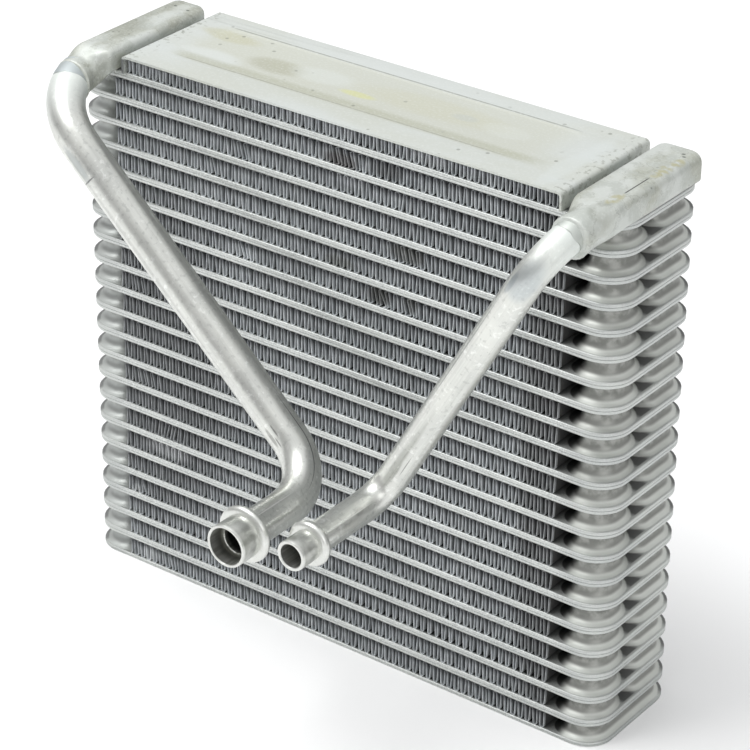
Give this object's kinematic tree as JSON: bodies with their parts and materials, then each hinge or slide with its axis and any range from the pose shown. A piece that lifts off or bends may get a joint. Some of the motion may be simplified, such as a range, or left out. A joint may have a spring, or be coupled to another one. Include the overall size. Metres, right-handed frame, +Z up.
{
  "type": "evaporator core",
  "caption": "Drawn-cup evaporator core: flat tubes and folded fins brazed between end plates, with two header ducts and beaded pipe ends.",
  "frame": {"origin": "middle of the underside of the bottom end plate", "axes": "+X along the tubes to the liquid header's end, +Z up through the stack, -Y towards the pipe ends"},
  "size_m": [0.2665, 0.152, 0.2441],
  "materials": {
    "tube_plate": "satin, brazed",
    "fin": "satin, folded strip",
    "end_plate": "matt, stamped sheet",
    "header": "matt, stamped and brazed",
    "pipe": "satin, drawn tube"
  },
  "bodies": {
    "root": {"tube_01": "tube_plate", "tube_02": "tube_plate", "tube_03": "tube_plate", "tube_04": "tube_plate", "tube_05": "tube_plate", "tube_06": "tube_plate", "tube_07": "tube_plate", "tube_08": "tube_plate", "tube_09": "tube_plate", "tube_10": "tube_plate", "tube_11": "tube_plate", "tube_12": "tube_plate", "tube_13": "tube_plate", "tube_14": "tube_plate", "tube_15": "tube_plate", "tube_16": "tube_plate", "tube_17": "tube_plate", "tube_18": "tube_plate", "tube_19": "tube_plate", "tube_20": "tube_plate", "tube_21": "tube_plate", "fin_01": "fin", "fin_02": "fin", "fin_03": "fin", "fin_04": "fin", "fin_05": "fin", "fin_06": "fin", "fin_07": "fin", "fin_08": "fin", "fin_09": "fin", "fin_10": "fin", "fin_11": "fin", "fin_12": "fin", "fin_13": "fin", "fin_14": "fin", "fin_15": "fin", "fin_16": "fin", "fin_17": "fin", "fin_18": "fin", "fin_19": "fin", "fin_20": "fin", "fin_21": "fin", "fin_22": "fin", "bottom_end_plate": "end_plate", "top_end_plate": "end_plate", "suction_header": "header", "liquid_header": "header", "suction_pipe": "pipe", "liquid_pipe": "pipe"}
  },
  "joints": []
}
